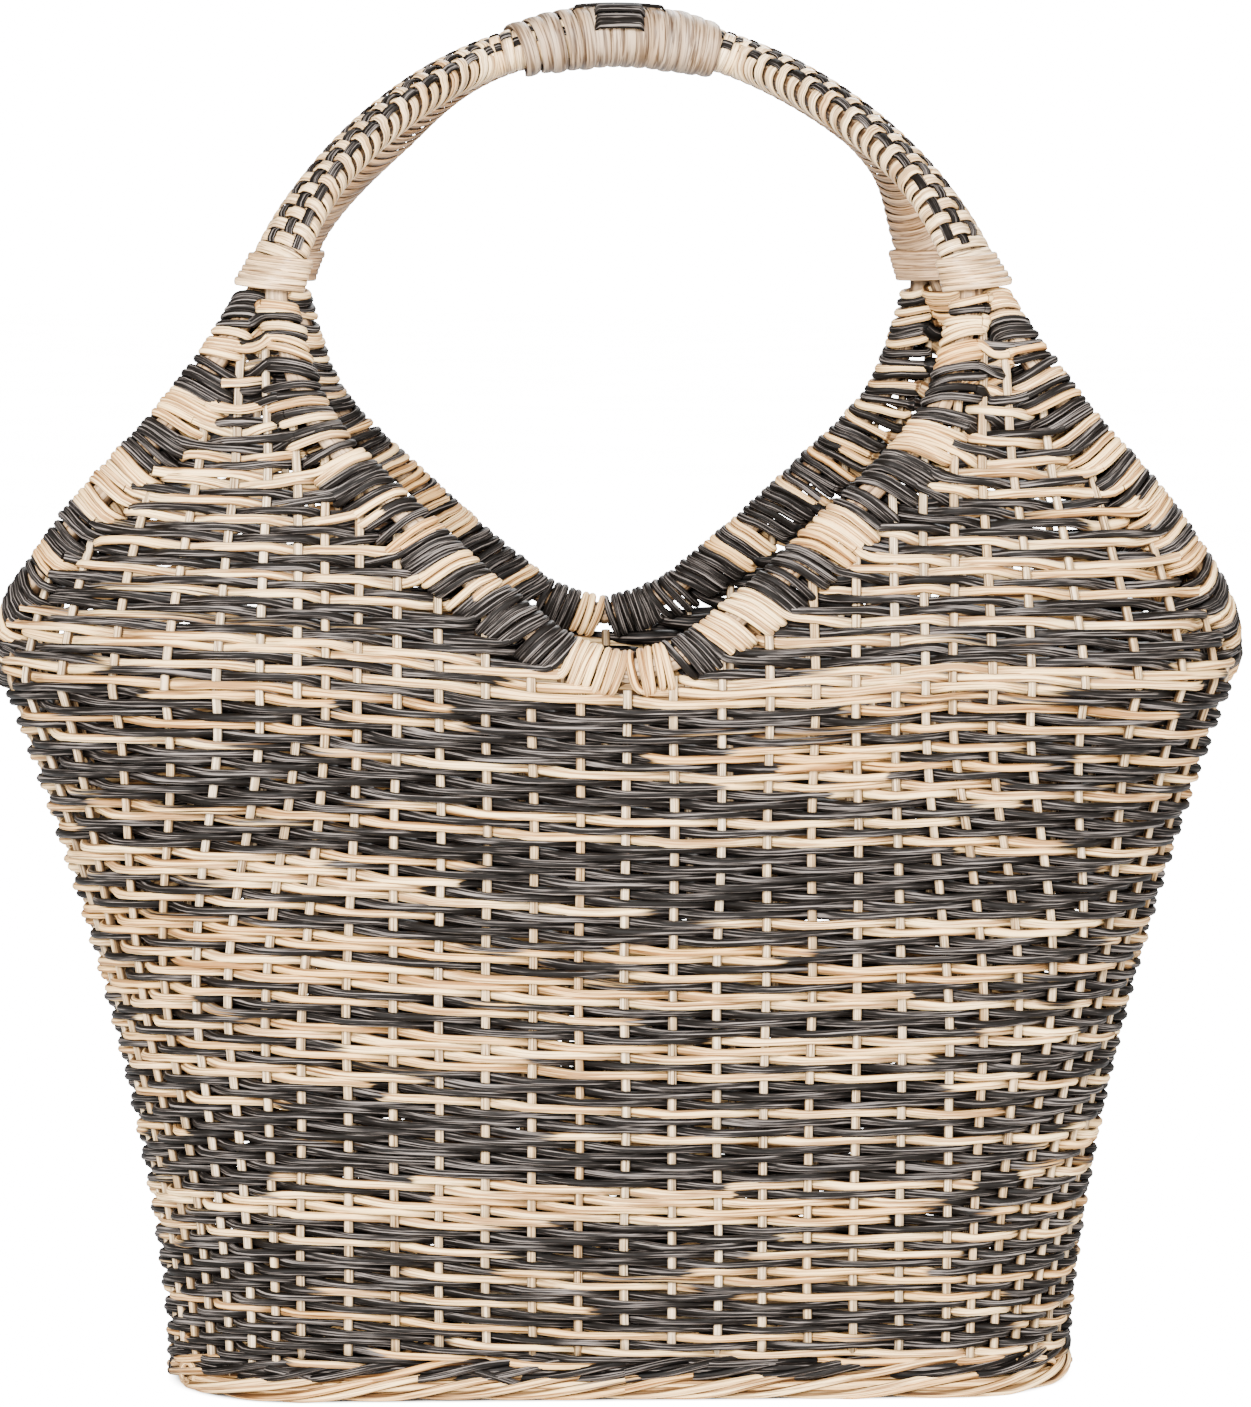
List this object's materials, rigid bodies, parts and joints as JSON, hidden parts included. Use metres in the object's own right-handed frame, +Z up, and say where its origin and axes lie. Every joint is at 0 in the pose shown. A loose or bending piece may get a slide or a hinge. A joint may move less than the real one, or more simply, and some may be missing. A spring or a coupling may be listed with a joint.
{
  "type": "rattan storage basket",
  "caption": "Oblong rattan basket woven in two colours over stakes, with scooped rims rising to horns that carry two hoops bound into one carrying handle.",
  "frame": {"origin": "on the floor under the middle of the foot", "axes": "+Z up to the handle, -Y to the front face, X along the basket's length"},
  "size_m": [0.4462, 0.2608, 0.487],
  "materials": {
    "pale_weaver": "dry satin, streaked",
    "dark_weaver": "dry satin, charcoal dyed",
    "stake_cane": "dry matte",
    "handle_cane": "smooth satin",
    "core_rod": "dry matte"
  },
  "bodies": {
    "root": {"foot_border": "dark_weaver", "base_mat": "pale_weaver", "lower_weave": "pale_weaver", "middle_weave": "dark_weaver", "upper_weave": "pale_weaver", "front_right_horn_weave": "pale_weaver", "front_left_horn_weave": "dark_weaver", "back_right_horn_weave": "dark_weaver", "back_left_horn_weave": "pale_weaver", "face_stake_01": "stake_cane", "face_stake_02": "stake_cane", "face_stake_03": "stake_cane", "face_stake_04": "stake_cane", "face_stake_05": "stake_cane", "face_stake_06": "stake_cane", "face_stake_07": "stake_cane", "face_stake_08": "stake_cane", "face_stake_09": "stake_cane", "face_stake_10": "stake_cane", "face_stake_11": "stake_cane", "face_stake_12": "stake_cane", "face_stake_13": "stake_cane", "face_stake_14": "stake_cane", "face_stake_15": "stake_cane", "side_stake_1": "stake_cane", "side_stake_2": "stake_cane", "side_stake_3": "stake_cane", "side_stake_4": "stake_cane", "side_stake_5": "stake_cane", "side_stake_6": "stake_cane", "side_stake_7": "stake_cane", "side_stake_8": "stake_cane", "front_right_corner_stakes": "stake_cane", "front_left_corner_stakes": "stake_cane", "back_right_corner_stakes": "stake_cane", "back_left_corner_stakes": "stake_cane", "front_rim_rod": "core_rod", "front_rim_wrap": "pale_weaver", "back_rim_rod": "core_rod", "back_rim_wrap": "dark_weaver", "right_rim_rod": "core_rod", "right_rim_wrap": "dark_weaver", "left_rim_rod": "core_rod", "left_rim_wrap": "pale_weaver", "front_handle_core": "core_rod", "front_handle_wrap": "handle_cane", "front_handle_strip_1": "dark_weaver", "front_handle_strip_2": "dark_weaver", "front_handle_strip_3": "dark_weaver", "back_handle_core": "core_rod", "back_handle_wrap": "handle_cane", "back_handle_strip_1": "dark_weaver", "back_handle_strip_2": "dark_weaver", "back_handle_strip_3": "dark_weaver", "crown_binding": "handle_cane", "front_right_collar": "handle_cane", "front_left_collar": "handle_cane", "back_right_collar": "handle_cane", "back_left_collar": "handle_cane"}
  },
  "joints": []
}
